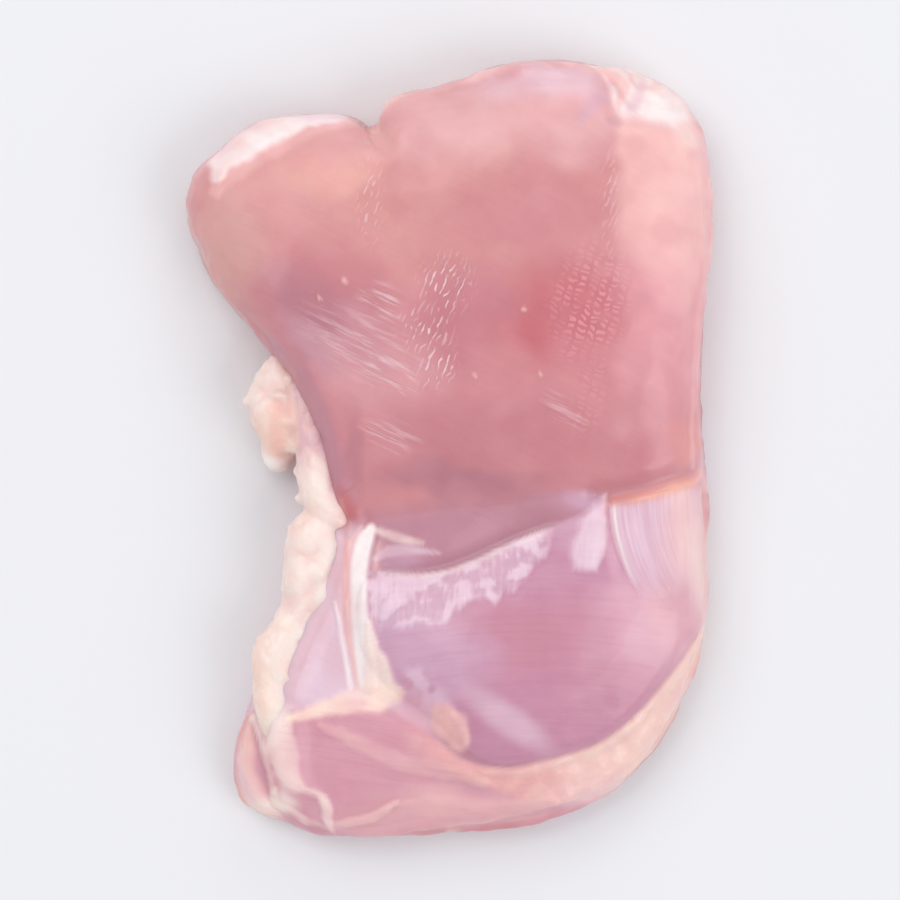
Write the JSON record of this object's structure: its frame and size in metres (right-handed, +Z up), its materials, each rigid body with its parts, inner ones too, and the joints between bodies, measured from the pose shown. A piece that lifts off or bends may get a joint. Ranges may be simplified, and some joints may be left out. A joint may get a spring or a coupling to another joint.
{
  "type": "raw chicken thigh",
  "caption": "Boneless, skinless raw chicken thigh lying flat, smooth side up: a large and a small muscle with a valley between them, and a ragged cord of fat down one side.",
  "frame": {"origin": "under the middle of the thigh, on the surface that it lies on", "axes": "+Z up, +Y along the thigh towards the large muscle, +X towards the long straight side, away from the cord of fat"},
  "size_m": [0.0916, 0.136, 0.0208],
  "materials": {
    "meat": "moist raw meat, pink with lilac membrane, silvery streaks and creamy fat"
  },
  "bodies": {
    "root": {"chicken_thigh": "meat"}
  },
  "joints": []
}
